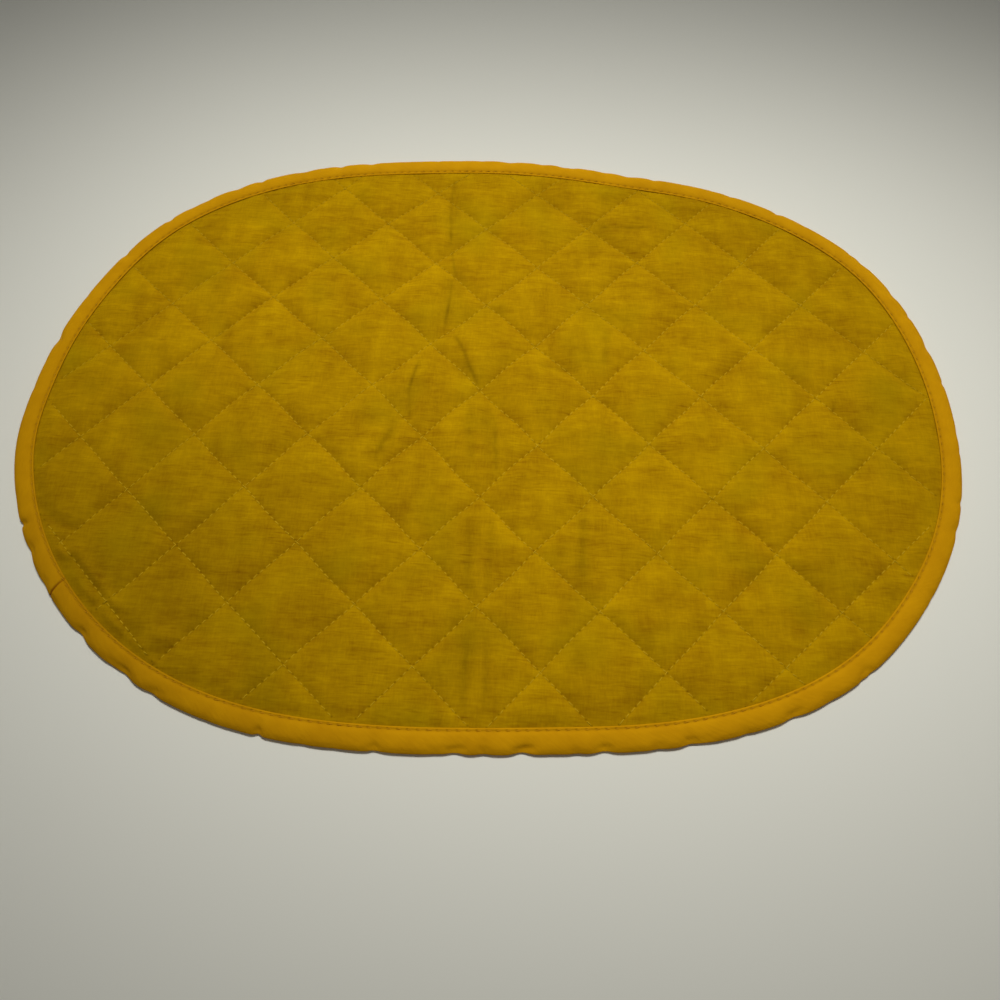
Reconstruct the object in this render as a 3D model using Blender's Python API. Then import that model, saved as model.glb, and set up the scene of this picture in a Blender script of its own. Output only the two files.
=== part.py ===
"""An oval quilted cloth placemat, edged with a folded binding, modelled at its real size.

The mat lies flat.  Its frame has the origin at the middle of the underside, +X along the long axis,
+Y towards the far long edge and +Z up.  Two pieces make it, as in the sewing room: the quilted panel,
whose thin rim is a tongue, and the binding, a strip folded round that tongue.
"""
import math
from typing import NamedTuple

import bmesh
import bpy
import numpy as np

MM = 0.001

# Outline of the finished mat: a superellipse, with shallow bulges and hollows round it.
HALF_LENGTH = 225.0 * MM
HALF_WIDTH = 165.0 * MM
ROUNDNESS = 2.41


class Bulge(NamedTuple):
    """A place where the edge strays from the superellipse: outwards where reach is positive."""

    angle_deg: float
    reach_mm: float
    spread_deg: float


BULGES = (
    Bulge(angle_deg=-174, reach_mm=2.0, spread_deg=8),
    Bulge(angle_deg=-153, reach_mm=-1.9, spread_deg=14),
    Bulge(angle_deg=-124, reach_mm=3.1, spread_deg=19),
    Bulge(angle_deg=-77, reach_mm=-1.5, spread_deg=14),
    Bulge(angle_deg=-44, reach_mm=0.8, spread_deg=13),
    Bulge(angle_deg=-25, reach_mm=-2.0, spread_deg=11),
    Bulge(angle_deg=0, reach_mm=2.0, spread_deg=11),
    Bulge(angle_deg=27, reach_mm=1.3, spread_deg=11),
    Bulge(angle_deg=65, reach_mm=-2.4, spread_deg=11),
    Bulge(angle_deg=91, reach_mm=1.2, spread_deg=11),
    Bulge(angle_deg=130, reach_mm=2.2, spread_deg=19),
    Bulge(angle_deg=162, reach_mm=-3.2, spread_deg=11),
)


class Seam(NamedTuple):
    """One quilting line.

    It runs at angle_deg, offset_mm to the left of the origin.  Between its ends it bows to its left
    by bow_mm, and sways like an S by sway_mm.
    """

    angle_deg: float
    offset_mm: float
    bow_mm: float
    sway_mm: float


# Quilting lines that fall to the right, from the near left corner to the far right one.
FALLING_SEAMS = (
    Seam(angle_deg=-45.0, offset_mm=-190.3, bow_mm=0.0, sway_mm=0.0),
    Seam(angle_deg=-43.0, offset_mm=-150.5, bow_mm=-2.0, sway_mm=0.0),
    Seam(angle_deg=-43.5, offset_mm=-112.2, bow_mm=0.5, sway_mm=0.0),
    Seam(angle_deg=-43.6, offset_mm=-75.2, bow_mm=3.0, sway_mm=-0.5),
    Seam(angle_deg=-43.7, offset_mm=-36.0, bow_mm=1.5, sway_mm=-3.0),
    Seam(angle_deg=-44.2, offset_mm=4.0, bow_mm=0.0, sway_mm=-1.5),
    Seam(angle_deg=-44.0, offset_mm=40.4, bow_mm=2.5, sway_mm=0.0),
    Seam(angle_deg=-43.6, offset_mm=76.0, bow_mm=5.5, sway_mm=0.0),
    Seam(angle_deg=-43.0, offset_mm=115.5, bow_mm=8.5, sway_mm=0.5),
    Seam(angle_deg=-43.4, offset_mm=159.4, bow_mm=3.0, sway_mm=0.5),
)
# Quilting lines that rise to the right, from the near right corner to the far left one.
RISING_SEAMS = (
    Seam(angle_deg=43.5, offset_mm=-180.5, bow_mm=0.0, sway_mm=0.0),
    Seam(angle_deg=47.0, offset_mm=-147.0, bow_mm=1.5, sway_mm=0.0),
    Seam(angle_deg=47.0, offset_mm=-109.5, bow_mm=2.5, sway_mm=0.0),
    Seam(angle_deg=47.0, offset_mm=-69.0, bow_mm=0.5, sway_mm=0.5),
    Seam(angle_deg=47.0, offset_mm=-29.3, bow_mm=-1.5, sway_mm=0.5),
    Seam(angle_deg=47.0, offset_mm=9.0, bow_mm=2.0, sway_mm=-1.0),
    Seam(angle_deg=46.5, offset_mm=45.0, bow_mm=3.5, sway_mm=-3.0),
    Seam(angle_deg=46.0, offset_mm=82.0, bow_mm=7.5, sway_mm=-3.0),
    Seam(angle_deg=45.5, offset_mm=121.0, bow_mm=9.5, sway_mm=-1.0),
    Seam(angle_deg=46.5, offset_mm=160.0, bow_mm=2.5, sway_mm=0.0),
)
SEAM_PITCH_MM = 38.0
SWAY_LENGTH = 300.0 * MM
STRAY_ENDS_AT = 0.94  # share of the outline's radius at which a line is back on its straight course


class Fold(NamedTuple):
    """A soft trough left by folding: where it starts and ends, how deep and how wide it is."""

    start_mm: tuple
    end_mm: tuple
    depth_mm: float
    width_mm: float


# The mat was stored folded in half, which broke its puffs along a line near the middle.
FOLDS = (
    Fold(start_mm=(-26, 151), end_mm=(-24, 95), depth_mm=0.8, width_mm=3.5),
    Fold(start_mm=(-26, 79), end_mm=(-24, 44), depth_mm=0.9, width_mm=3.0),
    Fold(start_mm=(-19, 43), end_mm=(-12, 16), depth_mm=1.0, width_mm=3.5),
    Fold(start_mm=(0, 3), end_mm=(2, -35), depth_mm=0.5, width_mm=3.5),
    Fold(start_mm=(-5, -62), end_mm=(-2, -142), depth_mm=0.5, width_mm=4.0),
    Fold(start_mm=(46, -46), end_mm=(46, -93), depth_mm=0.4, width_mm=4.0),
    Fold(start_mm=(-36, 27), end_mm=(-39, -8), depth_mm=0.8, width_mm=3.5),
    Fold(start_mm=(-43, -8), end_mm=(-54, -34), depth_mm=0.8, width_mm=4.0),
    Fold(start_mm=(53, 117), end_mm=(84, 119), depth_mm=0.7, width_mm=3.0),
    Fold(start_mm=(24, 26), end_mm=(43, 23), depth_mm=0.8, width_mm=3.5),
)
FOLD_LIMIT = 0.6  # most of a puff's height that a fold takes away

# Heights above the table.  The quilting presses the panel to SEAM_TOP, and it puffs up between.
SEAM_TOP = 2.1 * MM
PUFF = 2.0 * MM
PUFF_SQUARENESS = 4.6  # power that flattens a puff's top: 2 is a plain bump, more is nearer to a block
PUFF_RISE = 8.0 * MM  # distance from the binding over which the puffs reach their height
# The filling is uneven, so the puffs swell and sink by a share of their height in broad waves.
UNEVENNESS = 0.14
UNEVEN_LENGTH = 195.0 * MM
UNEVEN_WIDTH = 145.0 * MM
UNEVEN_SHIFT = 23.0 * MM

# The panel's tongue, and the groove of the binding that takes it.
GAP = 0.3 * MM
LIP = 0.9 * MM
NOSE = 3.6 * MM
BINDING_WIDTH = 10.8 * MM
TONGUE_BOTTOM = LIP + GAP
TONGUE_TOP = SEAM_TOP
GROOVE_TOP = TONGUE_TOP + GAP
PANEL_INSET = BINDING_WIDTH + GAP
TONGUE_INSET = NOSE + GAP


class Corner(NamedTuple):
    """A corner of the binding's folded section, and the share of the puckers that it takes."""

    inset: float
    height: float
    pucker: float


# Up round the rolled nose, in over the upper lip, back along the groove and out under the lower lip.
BINDING_SECTION = (
    Corner(inset=0.0, height=1.0 * MM, pucker=1.0),
    Corner(inset=0.7 * MM, height=1.8 * MM, pucker=1.0),
    Corner(inset=2.2 * MM, height=2.5 * MM, pucker=0.95),
    Corner(inset=4.2 * MM, height=3.05 * MM, pucker=0.7),
    Corner(inset=6.8 * MM, height=3.3 * MM, pucker=0.3),
    Corner(inset=8.4 * MM, height=3.05 * MM, pucker=0.1),
    Corner(inset=10.3 * MM, height=2.9 * MM, pucker=0.0),
    Corner(inset=BINDING_WIDTH, height=GROOVE_TOP, pucker=0.0),
    Corner(inset=NOSE, height=GROOVE_TOP, pucker=0.0),
    Corner(inset=NOSE, height=LIP, pucker=0.0),
    Corner(inset=BINDING_WIDTH, height=LIP, pucker=0.0),
    Corner(inset=BINDING_WIDTH, height=0.0, pucker=0.0),
    Corner(inset=1.3 * MM, height=0.0, pucker=0.0),
    Corner(inset=0.3 * MM, height=0.4 * MM, pucker=0.8),
)

# The binding puckers round its outer edge, unevenly spaced and unevenly deep, each one slanting in.
PUCKER_REACH = 0.5 * MM
PUCKER_LIFT = 0.3 * MM
PUCKER_COUNT = 53
PUCKER_SLANT = 18.0 * MM  # distance in from the edge over which a pucker slants by its own length
PUCKER_CROWDING = 1.9  # most radians that a pucker is moved along the edge
PUCKER_CROWDS = 7
PUCKER_LULLS = 5
PUCKER_LULL_DEPTH = 0.35
# The strip's two ends join at the near left, in a slightly thicker place.
JOIN_ANGLE_DEG = -151.1
JOIN_SPREAD_DEG = 1.2
JOIN_LIFT = 0.4 * MM

# Fineness of the meshes.
PANEL_RIM_POINTS = 112
BINDING_STATIONS = 236
CUTS_BETWEEN_SEAMS = (0.0, 0.08, 0.22, 0.5, 0.78, 0.92)
WELD = 0.5 * MM

CLOTH_COLOUR = (0.38, 0.21, 0.004)
BINDING_COLOUR = (0.53, 0.24, 0.006)


def bulge_reach(angle):
    """Return how far the edge strays outwards from the superellipse at each polar angle."""
    reach = np.zeros_like(angle)
    for bulge in BULGES:
        turn = np.angle(np.exp(1j * (angle - math.radians(bulge.angle_deg))))
        reach += bulge.reach_mm * MM * np.exp(-((turn / math.radians(bulge.spread_deg)) ** 2))
    return reach


def outline_radius(angle):
    """Return the outline's distance from the origin at each polar angle."""
    along = np.abs(np.cos(angle) / HALF_LENGTH) ** ROUNDNESS
    across = np.abs(np.sin(angle) / HALF_WIDTH) ** ROUNDNESS
    return (along + across) ** (-1.0 / ROUNDNESS) + bulge_reach(angle)


def outward(angle):
    """Return the outline's outward direction at each polar angle, as rows of x and y."""
    x = np.cos(angle)
    y = np.sin(angle)
    slope_x = np.sign(x) * np.abs(x) ** (ROUNDNESS - 1) / HALF_LENGTH**ROUNDNESS
    slope_y = np.sign(y) * np.abs(y) ** (ROUNDNESS - 1) / HALF_WIDTH**ROUNDNESS
    length = np.hypot(slope_x, slope_y)
    return np.stack([slope_x / length, slope_y / length], axis=-1)


def edge_points(angle, inset):
    """Return the points that lie a given distance inside the outline at each polar angle."""
    radius = outline_radius(angle)
    rim = np.stack([radius * np.cos(angle), radius * np.sin(angle)], axis=-1)
    return rim - outward(angle) * np.asarray(inset)[..., None]


def depth_inside(x, y):
    """Return each point's distance inside the outline."""
    angle = np.arctan2(y, x)
    facing = outward(angle)
    lean = facing[..., 0] * np.cos(angle) + facing[..., 1] * np.sin(angle)
    return (outline_radius(angle) - np.hypot(x, y)) * lean


def edge_points_beside(x, y, inset):
    """Return the points straight outwards or inwards of the given ones that lie at a set inset."""
    step = depth_inside(x, y) - inset
    return np.stack([x, y], axis=-1) + outward(np.arctan2(y, x)) * step[..., None]


def with_guards(seams):
    """Return the seams with one more beyond each end, so that every point lies between two."""
    first = seams[0]._replace(offset_mm=seams[0].offset_mm - SEAM_PITCH_MM, bow_mm=0.0)
    last = seams[-1]._replace(offset_mm=seams[-1].offset_mm + SEAM_PITCH_MM, bow_mm=0.0)
    return (first, *seams, last)


def stray(seam, x, y):
    """Return how far a seam strays to its left of its straight course, level with each point."""
    share = np.hypot(x, y) / outline_radius(np.arctan2(y, x))
    free = np.clip(1.0 - (share / STRAY_ENDS_AT) ** 2, 0.0, 1.0)
    angle = math.radians(seam.angle_deg)
    along = x * math.cos(angle) + y * math.sin(angle)
    sway = seam.sway_mm * np.sin(2.0 * math.pi * along / SWAY_LENGTH)
    return (seam.bow_mm + sway) * MM * free


def distance_from(seam, x, y, strays):
    """Return each point's distance to the left of a seam, or of its straight course."""
    angle = math.radians(seam.angle_deg)
    straight = y * math.cos(angle) - x * math.sin(angle) - seam.offset_mm * MM
    return straight - stray(seam, x, y) if strays else straight


def between(seams, x, y, strays=True):
    """Return the seam each point lies beyond, as an index, and its share of the way to the next."""
    distances = np.stack([distance_from(seam, x, y, strays) for seam in with_guards(seams)])
    index = np.clip((distances > 0).sum(axis=0) - 1, 0, len(distances) - 2)
    past = np.take_along_axis(distances, index[None], axis=0)[0]
    ahead = np.take_along_axis(distances, index[None] + 1, axis=0)[0]
    return index, np.clip(past / (past - ahead), 0.0, 1.0)


def fold_depth(x, y):
    """Return how far the folds sink the top of the panel at each point."""
    depth = np.zeros_like(x)
    for fold in FOLDS:
        start = np.array(fold.start_mm) * MM
        run = np.array(fold.end_mm) * MM - start
        length = math.hypot(*run)
        along = ((x - start[0]) * run[0] + (y - start[1]) * run[1]) / length**2
        beside = ((x - start[0]) * run[1] - (y - start[1]) * run[0]) / length
        fade = np.clip(np.minimum(along, 1.0 - along) * length / (fold.width_mm * MM) + 0.5, 0.0, 1.0)
        depth = np.maximum(depth, fold.depth_mm * MM * fade * np.exp(-((beside / (fold.width_mm * MM)) ** 2)))
    return depth


def panel_top(x, y):
    """Return the height of the panel's top: pressed along the seams, puffed up between them."""
    puff = PUFF * np.ones_like(x)
    for seams in (FALLING_SEAMS, RISING_SEAMS):
        _, share = between(seams, x, y)
        puff *= 1.0 - np.abs(1.0 - 2.0 * share) ** PUFF_SQUARENESS
    across = 2.0 * math.pi * (y + UNEVEN_SHIFT) / UNEVEN_WIDTH
    puff *= 1.0 + UNEVENNESS * np.sin(2.0 * math.pi * x / UNEVEN_LENGTH) * np.sin(across)
    rise = np.clip((depth_inside(x, y) - PANEL_INSET) / PUFF_RISE, 0.0, 1.0)
    puff *= rise * (2.0 - rise)
    return SEAM_TOP + puff - np.minimum(fold_depth(x, y), FOLD_LIMIT * puff)


def cutting_lines(seams):
    """Yield the straight lines that the top is cut along: each seam, and lines between it and the next."""
    rows = with_guards(seams)
    for here, ahead in zip(rows, rows[1:]):
        for share in CUTS_BETWEEN_SEAMS:
            angle = math.radians(here.angle_deg + share * (ahead.angle_deg - here.angle_deg))
            offset = (here.offset_mm + share * (ahead.offset_mm - here.offset_mm)) * MM
            yield angle, offset


def shift_of(seams, x, y):
    """Return the sideways shift, as x and y, that bends the straight cuts into the real lines."""
    rows = with_guards(seams)
    index, share = between(seams, x, y, strays=False)
    strays = np.stack([stray(seam, x, y) for seam in rows])
    here = np.take_along_axis(strays, index[None], axis=0)[0]
    ahead = np.take_along_axis(strays, index[None] + 1, axis=0)[0]
    angle = np.radians([seam.angle_deg for seam in rows])[index]
    shift = here + share * (ahead - here)
    return -np.sin(angle) * shift, np.cos(angle) * shift


def cut_top(mesh):
    """Fill the mesh with the flat top of the panel, cut into small faces along the seams."""
    angle = np.linspace(0.0, 2.0 * math.pi, PANEL_RIM_POINTS, endpoint=False)
    rim = edge_points(angle, np.full_like(angle, PANEL_INSET))
    mesh.faces.new([mesh.verts.new((x, y, 0.0)) for x, y in rim])
    for seams in (FALLING_SEAMS, RISING_SEAMS):
        for angle, offset in cutting_lines(seams):
            normal = (-math.sin(angle), math.cos(angle), 0.0)
            everything = [*mesh.verts, *mesh.edges, *mesh.faces]
            point = (normal[0] * offset, normal[1] * offset, 0.0)
            bmesh.ops.bisect_plane(mesh, geom=everything, plane_co=point, plane_no=normal, dist=1e-7)
    bmesh.ops.remove_doubles(mesh, verts=mesh.verts[:], dist=WELD)


def raise_top(mesh):
    """Bend the straight cuts into the real lines, then lift every point to the quilted top."""
    x, y = np.array([vert.co[:2] for vert in mesh.verts]).T
    shifts = [shift_of(seams, x, y) for seams in (FALLING_SEAMS, RISING_SEAMS)]
    x = x + sum(shift[0] for shift in shifts)
    y = y + sum(shift[1] for shift in shifts)
    for vert, co in zip(mesh.verts, zip(x, y, panel_top(x, y))):
        vert.co = co


def grow_rim(mesh, edges, inset, height):
    """Extrude the open rim once, to a given distance inside the outline and a height; return the new rim."""
    made = bmesh.ops.extrude_edge_only(mesh, edges=edges)["geom"]
    verts = [item for item in made if isinstance(item, bmesh.types.BMVert)]
    x, y = np.array([vert.co[:2] for vert in verts]).T
    rim = edge_points_beside(x, y, inset)
    for vert, (rim_x, rim_y) in zip(verts, rim):
        vert.co = (rim_x, rim_y, height)
    return [item for item in made if isinstance(item, bmesh.types.BMEdge)]


def make_object(name, mesh, colour, roughness):
    """Put the finished bmesh in a smooth-shaded object with its own material."""
    bmesh.ops.triangulate(mesh, faces=mesh.faces[:])
    bmesh.ops.recalc_face_normals(mesh, faces=mesh.faces[:])
    data = bpy.data.meshes.new(name)
    mesh.to_mesh(data)
    mesh.free()
    data.shade_smooth()
    data.set_sharp_from_angle(angle=math.radians(50.0))
    material = bpy.data.materials.new(name)
    material.use_nodes = True
    finish = material.node_tree.nodes["Principled BSDF"]
    finish.inputs["Base Color"].default_value = (*colour, 1.0)
    finish.inputs["Roughness"].default_value = roughness
    finish.inputs["Metallic"].default_value = 0.0
    data.materials.append(material)
    piece = bpy.data.objects.new(name, data)
    bpy.context.scene.collection.objects.link(piece)
    return piece


def make_panel():
    """Make the quilted panel: a puffed top, a flat underside and a thin tongue round the rim."""
    mesh = bmesh.new()
    cut_top(mesh)
    raise_top(mesh)
    rim = [edge for edge in mesh.edges if edge.is_boundary]
    for inset, height in (
        (TONGUE_INSET, TONGUE_TOP),
        (TONGUE_INSET, TONGUE_BOTTOM),
        (PANEL_INSET, TONGUE_BOTTOM),
        (PANEL_INSET, 0.0),
    ):
        rim = grow_rim(mesh, rim, inset, height)
    underside = bmesh.ops.contextual_create(mesh, geom=rim)["faces"]
    bmesh.ops.poke(mesh, faces=underside)
    return make_object("quilted_panel", mesh, CLOTH_COLOUR, roughness=0.9)


def pucker(angle, inset):
    """Return the binding's pucker, from -1 to 1, at each polar angle and distance inside the outline."""
    crowding = PUCKER_CROWDING * np.sin(PUCKER_CROWDS * angle)
    slant = 2.0 * math.pi * inset / PUCKER_SLANT
    size = 1.0 - PUCKER_LULL_DEPTH * (1.0 + np.sin(PUCKER_LULLS * angle)) / 2.0
    return size * np.sin(PUCKER_COUNT * angle + crowding - slant)


def join_share(angle):
    """Return how much of the join's extra thickness there is at each polar angle."""
    turn = np.degrees(np.angle(np.exp(1j * (angle - math.radians(JOIN_ANGLE_DEG)))))
    return np.exp(-((turn / JOIN_SPREAD_DEG) ** 2))


def make_binding():
    """Make the binding: one strip folded over the tongue and closed round the mat."""
    inset, height, share = np.array(BINDING_SECTION).T
    angle = np.linspace(0.0, 2.0 * math.pi, BINDING_STATIONS, endpoint=False)
    angles, insets = np.meshgrid(angle, inset, indexing="ij")
    wave = pucker(angles, insets) * share
    raised = share * (height > GROOVE_TOP)
    points = np.empty((*angles.shape, 3))
    points[..., :2] = edge_points(angles, insets - PUCKER_REACH * wave)
    points[..., 2] = height + raised * (PUCKER_LIFT * wave + JOIN_LIFT * join_share(angles))
    mesh = bmesh.new()
    rings = [[mesh.verts.new(point) for point in ring] for ring in points]
    for ring, ahead in zip(rings, [*rings[1:], rings[0]]):
        for here in range(len(ring)):
            mesh.faces.new((ring[here - 1], ahead[here - 1], ahead[here], ring[here]))
    return make_object("edge_binding", mesh, BINDING_COLOUR, roughness=0.75)


def main():
    """Clear the scene and make the two pieces of the mat."""
    for old in list(bpy.data.objects):
        bpy.data.objects.remove(old)
    make_panel()
    make_binding()


main()
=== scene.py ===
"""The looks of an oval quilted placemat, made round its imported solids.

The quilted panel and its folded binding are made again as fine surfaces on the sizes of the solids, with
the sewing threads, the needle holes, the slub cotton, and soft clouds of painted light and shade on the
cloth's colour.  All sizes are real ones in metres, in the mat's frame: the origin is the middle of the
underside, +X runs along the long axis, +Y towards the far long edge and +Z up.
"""
import logging
import math
from collections.abc import Callable
from dataclasses import dataclass
from enum import Enum
from typing import NamedTuple

import bpy
import numpy as np
from mathutils import Matrix, Vector


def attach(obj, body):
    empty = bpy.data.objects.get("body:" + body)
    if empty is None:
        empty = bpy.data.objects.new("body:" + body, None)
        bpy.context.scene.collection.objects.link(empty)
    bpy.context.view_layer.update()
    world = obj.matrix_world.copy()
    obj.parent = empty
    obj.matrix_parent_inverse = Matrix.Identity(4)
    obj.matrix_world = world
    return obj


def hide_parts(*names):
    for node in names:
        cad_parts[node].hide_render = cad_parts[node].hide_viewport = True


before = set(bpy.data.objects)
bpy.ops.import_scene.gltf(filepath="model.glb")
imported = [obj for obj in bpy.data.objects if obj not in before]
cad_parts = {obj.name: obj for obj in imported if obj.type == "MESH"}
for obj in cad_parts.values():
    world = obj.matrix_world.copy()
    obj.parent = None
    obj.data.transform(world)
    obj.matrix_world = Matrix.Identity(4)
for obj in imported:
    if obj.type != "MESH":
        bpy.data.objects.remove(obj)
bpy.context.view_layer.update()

LOG = logging.getLogger("placemat")

MM = 0.001
TURN = 2.0 * math.pi
DEG = TURN / 360.0

Array = np.ndarray
Colour = tuple[float, float, float]
Spot = tuple[float, float]
Socket = bpy.types.NodeSocket
Material = bpy.types.Material
Piece = bpy.types.Object


class Side(Enum):
    """The two sides of the mat, by the way that they face."""

    FACE = 1.0
    BACK = -1.0


def ramp(value: Array, start: float, width: float) -> Array:
    """Rise from 0 at the start to 1 a width beyond it: (value - start) / width, kept from 0 to 1."""
    return np.clip((value - start) / width, 0.0, 1.0)


def eased(share: Array) -> Array:
    """Round off both ends of a ramp: t * t * (3 - 2 t)."""
    return share * share * (3.0 - 2.0 * share)


def bell(distance: Array, width: float | Array) -> Array:
    """Work out a bell curve: exp(-(distance / width) ** 2)."""
    return np.exp(-((distance / width) ** 2))


def turned(angle: Array, direction: float) -> Array:
    """Work out the angle from a direction, kept within half a turn each way."""
    return np.angle(np.exp(1j * (angle - direction)))


# ---------------------------------------------------------------- tables of the mat's own shape


class Bulge(NamedTuple):
    """Something that swells and fades along the edge: in which direction, how much and how widely."""

    angle_deg: float
    size: float
    spread_deg: float

    def at(self, angle: Array) -> Array:
        """Work out its size at polar angles, as a bell curve."""
        return self.size * bell(turned(angle, self.angle_deg * DEG), self.spread_deg * DEG)


# Where the edge strays outwards from the superellipse, in millimetres.
BULGES = (
    Bulge(-174, 2.0, 8),
    Bulge(-153, -1.9, 14),
    Bulge(-124, 3.1, 19),
    Bulge(-77, -1.5, 14),
    Bulge(-44, 0.8, 13),
    Bulge(-25, -2.0, 11),
    Bulge(0, 2.0, 11),
    Bulge(27, 1.3, 11),
    Bulge(65, -2.4, 11),
    Bulge(91, 1.2, 11),
    Bulge(130, 2.2, 19),
    Bulge(162, -3.2, 11),
)


class Seam(NamedTuple):
    """One quilting line: its direction, its offset to the left of the origin, its bow and its S-sway."""

    angle_deg: float
    offset_mm: float
    bow_mm: float = 0.0
    sway_mm: float = 0.0


# Quilting lines that fall to the right, from the near left corner to the far right one.
FALLING_SEAMS = (
    Seam(-45.0, -190.3),
    Seam(-43.0, -150.5, -2.0),
    Seam(-43.5, -112.2, 0.5),
    Seam(-43.6, -75.2, 3.0, -0.5),
    Seam(-43.7, -36.0, 1.5, -3.0),
    Seam(-44.2, 4.0, 0.0, -1.5),
    Seam(-44.0, 40.4, 2.5),
    Seam(-43.6, 76.0, 5.5),
    Seam(-43.0, 115.5, 8.5, 0.5),
    Seam(-43.4, 159.4, 3.0, 0.5),
)
# Quilting lines that rise to the right, from the near right corner to the far left one.
RISING_SEAMS = (
    Seam(43.5, -180.5),
    Seam(47.0, -147.0, 1.5),
    Seam(47.0, -109.5, 2.5),
    Seam(47.0, -69.0, 0.5, 0.5),
    Seam(47.0, -29.3, -1.5, 0.5),
    Seam(47.0, 9.0, 2.0, -1.0),
    Seam(46.5, 45.0, 3.5, -3.0),
    Seam(46.0, 82.0, 7.5, -3.0),
    Seam(45.5, 121.0, 9.5, -1.0),
    Seam(46.5, 160.0, 2.5),
)


class Fold(NamedTuple):
    """A soft trough in the cloth: from where to where, how deep and how wide, and how dark the painted shade
    and wear along its line.
    """

    start_mm: Spot
    end_mm: Spot
    depth_mm: float
    width_mm: float
    shade: float = 0.0

    @property
    def length(self) -> float:
        """The length of its line."""
        return math.dist(self.start_mm, self.end_mm) * MM

    def measure(self, x: "Array | Value", y: "Array | Value") -> "tuple[Array, Array] | tuple[Value, Value]":
        """Measure places in plan from the start of its line.

        Args:
            x, y: places in plan, as arrays or as a shader's values.

        Returns:
            The distances along the line and beside it.
        """
        start = np.array(self.start_mm) * MM
        east, north = (np.array(self.end_mm) * MM - start) / self.length
        along = x * east + y * north - (start[0] * east + start[1] * north)
        beside = x * north - y * east - (start[0] * north - start[1] * east)
        return along, beside

    def depth(self, x: Array, y: Array) -> Array:
        """Work out its depth: a bell curve beside the line, fading out within half a width of its ends.

        Args:
            x, y: places in plan.

        Returns:
            The depth at each place.
        """
        width = self.width_mm * MM
        along, beside = self.measure(x, y)
        left = np.minimum(along, self.length - along)
        return self.depth_mm * MM * ramp(left, -width / 2.0, width) * bell(beside, width)


# The mat was stored folded in half, which broke its puffs along a line near the middle.  The solid has these
# folds too.
FOLDS = (
    Fold((-26, 151), (-24, 95), 0.8, 3.5, 0.16),
    Fold((-26, 79), (-24, 44), 0.9, 3.0, 0.12),
    Fold((-19, 43), (-12, 16), 1.0, 3.5, 0.1),
    Fold((0, 3), (2, -35), 0.5, 3.5, 0.17),
    Fold((-5, -62), (-2, -142), 0.5, 4.0, 0.14),
    Fold((46, -46), (46, -93), 0.4, 4.0, 0.16),
    Fold((-36, 27), (-39, -8), 0.8, 3.5, 0.1),
    Fold((-43, -8), (-54, -34), 0.8, 4.0, 0.18),
    Fold((53, 117), (84, 119), 0.7, 3.0, 0.1),
    Fold((24, 26), (43, 23), 0.8, 3.5, 0.1),
)
# Finer creases, too slight for the solid: the crisp lines inside the folds, then a few of their own.  Like
# the folds, they darken the colour along their line with painted shade and wear.
CREASES = (
    Fold((-26, 150), (-27, 122), 0.2, 1.3, 0.18),
    Fold((-27, 124), (-25, 101), 0.4, 1.0, 0.34),
    Fold((-25, 100), (-21, 80), 0.3, 1.0, 0.26),
    Fold((-23, 79), (-25, 44), 0.4, 1.0, 0.34),
    Fold((-19, 43), (-12, 26), 0.4, 1.3, 0.36),
    Fold((-13, 28), (-5, 10), 0.3, 1.2, 0.26),
    Fold((-36, 27), (-40, 8), 0.3, 1.0, 0.3),
    Fold((-40, 10), (-38, -9), 0.3, 1.0, 0.24),
    Fold((-43, -7), (-53, -31), 0.3, 1.7, 0.2),
    Fold((59, 50), (57, 26), 0.3, 2.2, 0.22),
    Fold((170, 13), (168, 3), 0.35, 1.3, 0.22),
    Fold((53, 117), (84, 119), 0.3, 1.2, 0.2),
    Fold((24, 26), (43, 23), 0.3, 1.2, 0.2),
    Fold((190, 40), (214, 17), 0.3, 1.6, 0.12),
    Fold((4, -4), (5, -36), 0.1, 1.6, 0.2),
    Fold((-9, 2), (-7, -36), 0.15, 2.6, 0.2),
    Fold((-7, -52), (-5, -98), 0.15, 2.8, 0.13),
    Fold((4, -58), (4, -96), 0.1, 1.8, 0.16),
    Fold((-5, -114), (-3, -149), 0.15, 2.2, 0.24),
    Fold((4, -114), (6, -149), 0.15, 1.9, 0.22),
    Fold((46, -48), (46, -90), 0.1, 2.4, 0.11),
    Fold((57, 64), (72, 50), 0.35, 2.2, 0.1),
    Fold((-92, 96), (-78, 104), 0.3, 2.4, 0.08),
)


# The cloth was eased in where the near left corner turns, which left ridges square to the binding, a full
# puff beside the outermost quilting line and a sunk strip further along.  A ridge has a negative depth.
RIDGES = (
    Fold((-192, -84), (-182, -86), -1.3, 2.9),
    Fold((-179, -100), (-167, -106), -1.4, 3.1),
    Fold((-163, -114), (-152, -119), -1.4, 2.9),
    Fold((-147, -124), (-140, -127), -1.0, 2.4),
    Fold((-183, -82), (-156, -110), -1.1, 2.4),
    Fold((-200, -67), (-185, -73), 1.0, 2.8),
    Fold((-137, -120), (-116, -129), -0.9, 3.2),
)


class Cloud(NamedTuple):
    """A soft patch of painted light and shade over the colour: where its middle is, how wide it is, and how
    much lighter than the rest.
    """

    middle_mm: Spot
    reach_mm: float
    lightness: float


# Soft clouds of painted light and shade, laid over the colour of the cloth and of the binding.
PAINTED_LIGHT_CLOUDS = (
    Cloud((-160, -105), 95, -0.23),
    Cloud((0, 0), 110, -0.06),
    Cloud((-20, 150), 95, 0.13),
    Cloud((-160, 80), 70, 0.08),
    Cloud((200, -40), 70, -0.06),
)


class Corner(NamedTuple):
    """A point of the binding's folded section, and the share of the puckers that it takes."""

    inset_mm: float
    height_mm: float
    pucker: float = 0.0


# Where one end of the strip is joined to the other.
JOIN_DEG = -151.1
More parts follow.
